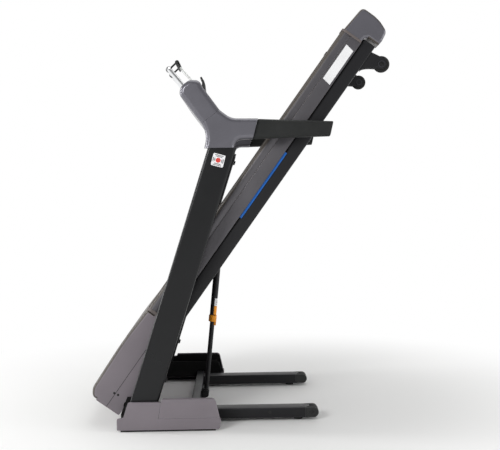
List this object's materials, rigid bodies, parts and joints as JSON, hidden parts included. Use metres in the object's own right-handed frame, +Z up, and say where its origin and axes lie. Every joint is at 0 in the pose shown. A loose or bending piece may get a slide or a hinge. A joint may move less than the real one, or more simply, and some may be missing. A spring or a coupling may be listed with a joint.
{
  "type": "folding treadmill",
  "caption": "Folding motorised treadmill stored with its deck up: base with legs, uprights, console with handles, tablet holder, folding strut.",
  "frame": {"origin": "on the floor, at the middle of the outline of the stored machine", "axes": "+Z up; +X towards the rear, where a runner steps on; +Y to the right of a runner who faces the console"},
  "size_m": [1.032, 0.824, 1.404],
  "materials": {
    "black_steel": "satin powder coat",
    "board": "raw board",
    "belt": "fine diamond texture",
    "zinc": "zinc plated",
    "rubber": "matt",
    "grey_shell": "fine texture",
    "black_plastic": "satin",
    "red": "gloss",
    "rail_grey": "satin",
    "metallic_shell": "metallic satin paint",
    "display": "dark gloss",
    "green": "gloss",
    "clear": "clear",
    "chrome": "polished",
    "orange": "satin"
  },
  "bodies": {
    "base": {"front_cross_tube": "black_steel", "rear_cross_tube": "black_steel", "leg_tube_left": "black_steel", "leg_end_left": "black_plastic", "leg_foot_left": "rubber", "side_channel_left": "black_steel", "foot_pad_left": "rubber", "foot_cover_left": "grey_shell", "foot_cover_lid_left": "grey_shell", "upright_left": "black_steel", "arm_shell_left": "metallic_shell", "handle_grip_left": "rubber", "leg_tube_right": "black_steel", "leg_end_right": "black_plastic", "leg_foot_right": "rubber", "side_channel_right": "black_steel", "foot_pad_right": "rubber", "foot_cover_right": "grey_shell", "foot_cover_lid_right": "grey_shell", "upright_right": "black_steel", "arm_shell_right": "metallic_shell", "handle_grip_right": "rubber", "console_housing": "metallic_shell", "console_face": "black_plastic", "display_window": "display", "tablet_ledge": "black_plastic", "tablet_backrest": "clear"},
    "deck": {"deck_cross_middle": "black_steel", "deck_cross_rear": "black_steel", "running_board": "board", "running_belt": "belt", "drive_belt": "rubber", "motor": "black_steel", "hood_upper": "grey_shell", "hood_lower": "grey_shell", "power_inlet": "black_plastic", "deck_side_left": "black_steel", "side_rail_left": "rail_grey", "end_cap_left": "metallic_shell", "deck_side_right": "black_steel", "side_rail_right": "rail_grey", "end_cap_right": "metallic_shell"},
    "strut_lower": {"strut_rod": "black_steel"},
    "strut_upper": {"strut_tube": "black_steel", "lock_collar": "orange"},
    "transport_wheel_left_body": {"transport_wheel_left": "rubber"},
    "transport_wheel_right_body": {"transport_wheel_right": "rubber"},
    "rear_wheel_left_body": {"rear_wheel_left": "rubber"},
    "rear_wheel_right_body": {"rear_wheel_right": "rubber"},
    "front_roller_body": {"front_roller": "zinc"},
    "rear_roller_body": {"rear_roller": "zinc"},
    "motor_pulley_body": {"motor_pulley": "zinc"},
    "power_switch_body": {"power_switch": "red"},
    "start_button_body": {"start_button": "green"},
    "stop_button_body": {"stop_button": "red"},
    "speed_rocker_body": {"speed_rocker": "black_plastic"},
    "safety_key_body": {"safety_key": "red"},
    "clamp_slide_body": {"tablet_clamp_frame": "chrome"},
    "clamp_yoke_body": {"tablet_clamp_yoke": "black_plastic"},
    "clamp_roller_body": {"tablet_clamp_roller": "rubber"}
  },
  "joints": [
    {"name": "deck_fold", "type": "hinge", "parent": "base", "child": "deck", "pos_m": [-0.3926, 0, 0.068], "axis": [0, 1, 0], "range_deg": [0, 54.2]},
    {"name": "strut_swing", "type": "hinge", "parent": "base", "child": "strut_lower", "pos_m": [-0.1376, 0, 0.04], "axis": [0, 1, 0], "range_deg": [0, 73.23]},
    {"name": "strut_slide", "type": "slide", "parent": "strut_lower", "child": "strut_upper", "axis": [0.1056, 0, 0.9944], "range_m": [-0.1911, 0]},
    {"name": "transport_wheel_left_spin", "type": "hinge", "parent": "base", "child": "transport_wheel_left_body", "pos_m": [0.2444, -0.268, 0.0273], "axis": [0, 1, 0], "continuous": true},
    {"name": "rear_wheel_left_spin", "type": "hinge", "parent": "deck", "child": "rear_wheel_left_body", "pos_m": [0.48803, -0.29, 1.22064], "axis": [0, 1, 0], "continuous": true},
    {"name": "transport_wheel_right_spin", "type": "hinge", "parent": "base", "child": "transport_wheel_right_body", "pos_m": [0.2444, 0.268, 0.0273], "axis": [0, 1, 0], "continuous": true},
    {"name": "rear_wheel_right_spin", "type": "hinge", "parent": "deck", "child": "rear_wheel_right_body", "pos_m": [0.48803, 0.29, 1.22064], "axis": [0, 1, 0], "continuous": true},
    {"name": "front_roller_spin", "type": "hinge", "parent": "deck", "child": "front_roller_body", "pos_m": [-0.30886, 0, 0.35283], "axis": [0, 1, 0], "continuous": true},
    {"name": "rear_roller_spin", "type": "hinge", "parent": "deck", "child": "rear_roller_body", "pos_m": [0.41063, 0, 1.35044], "axis": [0, 1, 0], "continuous": true},
    {"name": "motor_spin", "type": "hinge", "parent": "deck", "child": "motor_pulley_body", "pos_m": [-0.35367, 0.248, 0.24336], "axis": [0, 1, 0], "continuous": true},
    {"name": "power_switch_tilt", "type": "hinge", "parent": "deck", "child": "power_switch_body", "pos_m": [-0.45001, -0.104, 0.05763], "axis": [0, 1, 0], "range_deg": [-6, 6]},
    {"name": "start_press", "type": "slide", "parent": "base", "child": "start_button_body", "axis": [-0.81, 0, -0.5864], "range_m": [0, 0.0015], "stiffness_N_per_m": 400, "springref_m": -0.001},
    {"name": "stop_press", "type": "slide", "parent": "base", "child": "stop_button_body", "axis": [-0.81, 0, -0.5864], "range_m": [0, 0.0015], "stiffness_N_per_m": 400, "springref_m": -0.001},
    {"name": "speed_tilt", "type": "hinge", "parent": "base", "child": "speed_rocker_body", "pos_m": [-0.09638, 0.16, 1.10475], "axis": [0.5864, 0, -0.81], "range_deg": [-4, 4], "stiffness_Nm_per_rad": 0.1},
    {"name": "safety_key_pull", "type": "slide", "parent": "base", "child": "safety_key_body", "axis": [0.81, 0, 0.5864], "range_m": [0, 0.02]},
    {"name": "tablet_clamp_slide", "type": "slide", "parent": "base", "child": "clamp_slide_body", "axis": [-0.6402, 0, 0.7682], "range_m": [0, 0.07]},
    {"name": "tablet_clamp_tilt", "type": "hinge", "parent": "clamp_slide_body", "child": "clamp_yoke_body", "pos_m": [-0.2496, 0, 1.237], "axis": [0, 1, 0], "range_deg": [-35, 0], "stiffness_Nm_per_rad": 0.05},
    {"name": "tablet_roller_spin", "type": "hinge", "parent": "clamp_yoke_body", "child": "clamp_roller_body", "pos_m": [-0.2206, 0, 1.264], "axis": [0, 1, 0], "continuous": true}
  ],
  "couplings": [
    {"joint": "strut_swing", "follows": "deck_fold", "ratio": 1.3501},
    {"joint": "strut_slide", "follows": "deck_fold", "m_per_rad": -0.20167},
    {"joint": "rear_roller_spin", "follows": "front_roller_spin", "ratio": 1},
    {"joint": "motor_spin", "follows": "front_roller_spin", "ratio": 2}
  ]
}
